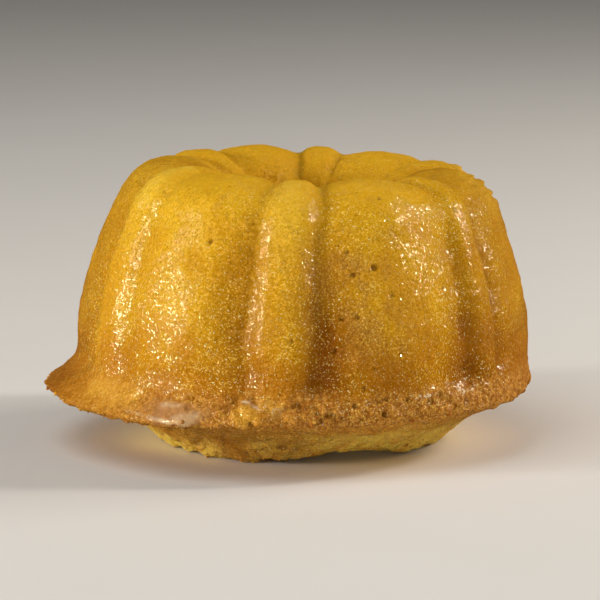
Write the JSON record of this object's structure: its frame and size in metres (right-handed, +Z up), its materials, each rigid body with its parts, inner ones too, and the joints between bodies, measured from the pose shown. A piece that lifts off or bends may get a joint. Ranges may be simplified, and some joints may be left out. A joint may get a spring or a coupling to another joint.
{
  "type": "rum cake",
  "caption": "Small fluted ring cake, golden and glossy with syrup, turned out upside down so that it stands on its domed base, with a rough browned lip of overrun batter round it.",
  "frame": {"origin": "centre of the cake's box, on the surface that the cake stands on", "axes": "+Z up along the hole, from the domed base to the fluted crest; -Y is the front, where one narrow rib stands just left of the middle; +X is the right, away from the widest spill of the lip"},
  "size_m": [0.1028, 0.0992, 0.0599],
  "materials": {
    "crust": "golden yellow sponge crust soaked in syrup, wet and fine-grained, browner in the grooves and rough and tan round the lip"
  },
  "bodies": {
    "root": {"cake": "crust"}
  },
  "joints": []
}
